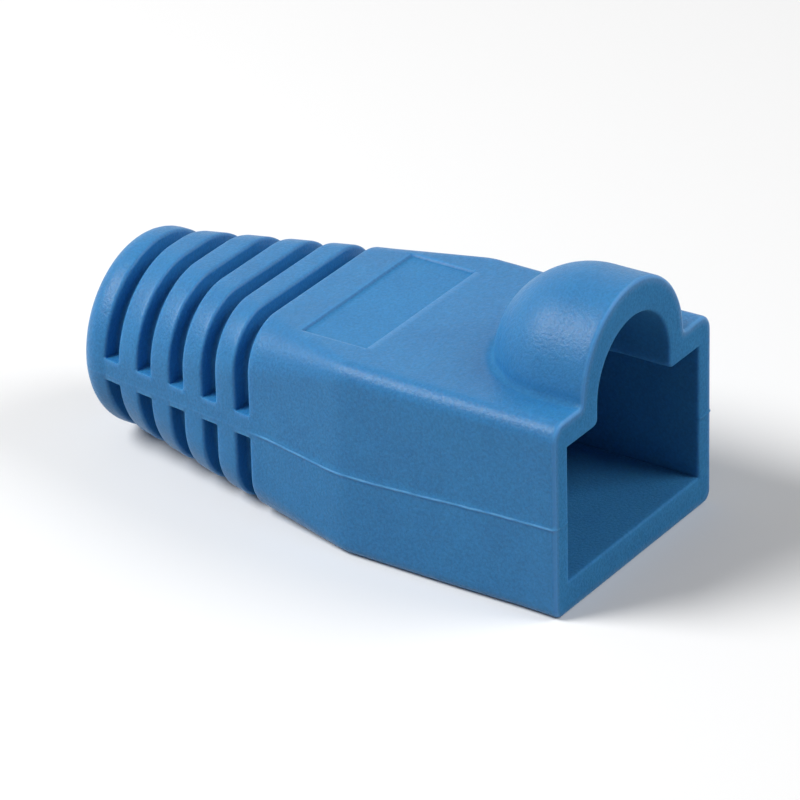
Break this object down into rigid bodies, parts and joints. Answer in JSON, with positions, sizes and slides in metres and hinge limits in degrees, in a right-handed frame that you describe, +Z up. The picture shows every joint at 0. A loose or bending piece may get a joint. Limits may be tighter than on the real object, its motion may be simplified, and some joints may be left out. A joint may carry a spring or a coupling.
{
  "type": "rj45 strain relief boot",
  "caption": "One-piece soft boot that slides over a modular network plug, hoods its latch and stops the cable bending sharply at the plug with a ribbed neck.",
  "frame": {"origin": "middle of the underside's box, on the surface it lies on", "axes": "+Y along the cable, from the plug face to the cable end; +Z up through the latch hood; +X across, and the boot is the same on both sides"},
  "size_m": [0.0142, 0.0296, 0.015],
  "materials": {
    "soft_pvc": "matte blue soft PVC with a fine spark-eroded grain"
  },
  "bodies": {
    "root": {"boot": "soft_pvc"}
  },
  "joints": []
}
